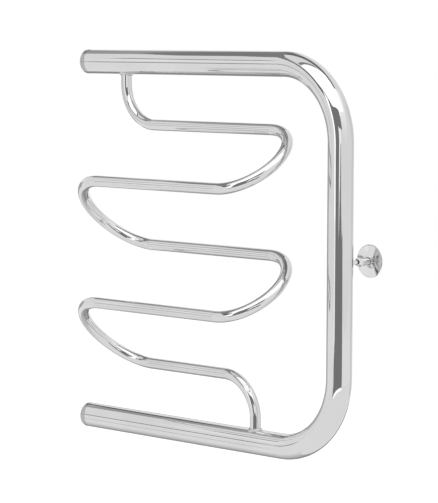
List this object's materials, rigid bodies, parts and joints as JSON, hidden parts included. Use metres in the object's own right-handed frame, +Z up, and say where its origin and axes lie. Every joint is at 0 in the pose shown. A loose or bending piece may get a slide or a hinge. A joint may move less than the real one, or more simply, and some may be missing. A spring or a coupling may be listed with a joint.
{
  "type": "towel warmer rack",
  "caption": "Wall-hung water-heated towel rail: a C-shaped polished collector tube with a thin serpentine looped through it, threaded open ends and a telescopic wall bracket.",
  "frame": {"origin": "on the wall, at the mouth of the wall bracket's tapped hole", "axes": "+Z up, +Y towards the wall along the bracket's axis, and the two open legs run towards -X"},
  "size_m": [0.5049, 0.1645, 0.5337],
  "materials": {
    "polished_tube": "mirror-polished stainless steel",
    "weld_metal": "ground and polished weld",
    "turned_steel": "turned and polished stainless steel",
    "bracket_chrome": "polished chrome",
    "blackened_steel": "black oxide",
    "ring_rubber": "moulded rubber"
  },
  "bodies": {
    "bracket": {"bracket_sleeve": "bracket_chrome"},
    "rack": {"collector_tube": "polished_tube", "serpentine_tube": "polished_tube", "upper_foot_elbow": "polished_tube", "lower_foot_elbow": "polished_tube", "upper_branch_weld": "weld_metal", "lower_branch_weld": "weld_metal", "bracket_pin_weld": "weld_metal", "upper_bushing_weld": "weld_metal", "lower_bushing_weld": "weld_metal", "upper_end_bushing": "turned_steel", "lower_end_bushing": "turned_steel", "bracket_pin": "bracket_chrome"},
    "escutcheon": {"wall_escutcheon": "bracket_chrome", "escutcheon_ring": "ring_rubber"},
    "grub_screw": {"bracket_grub_screw": "blackened_steel"}
  },
  "joints": [
    {"name": "rack_slide", "type": "slide", "parent": "bracket", "child": "rack", "axis": [0, 1, 0], "range_m": [-0.005, 0.005]},
    {"name": "escutcheon_slide", "type": "slide", "parent": "bracket", "child": "escutcheon", "axis": [0, -1, 0], "range_m": [0, 0.012]},
    {"name": "grub_screw_turn", "type": "hinge", "parent": "bracket", "child": "grub_screw", "pos_m": [0, -0.019, 0], "axis": [0, 0, -1], "range_deg": [0, 360]}
  ]
}
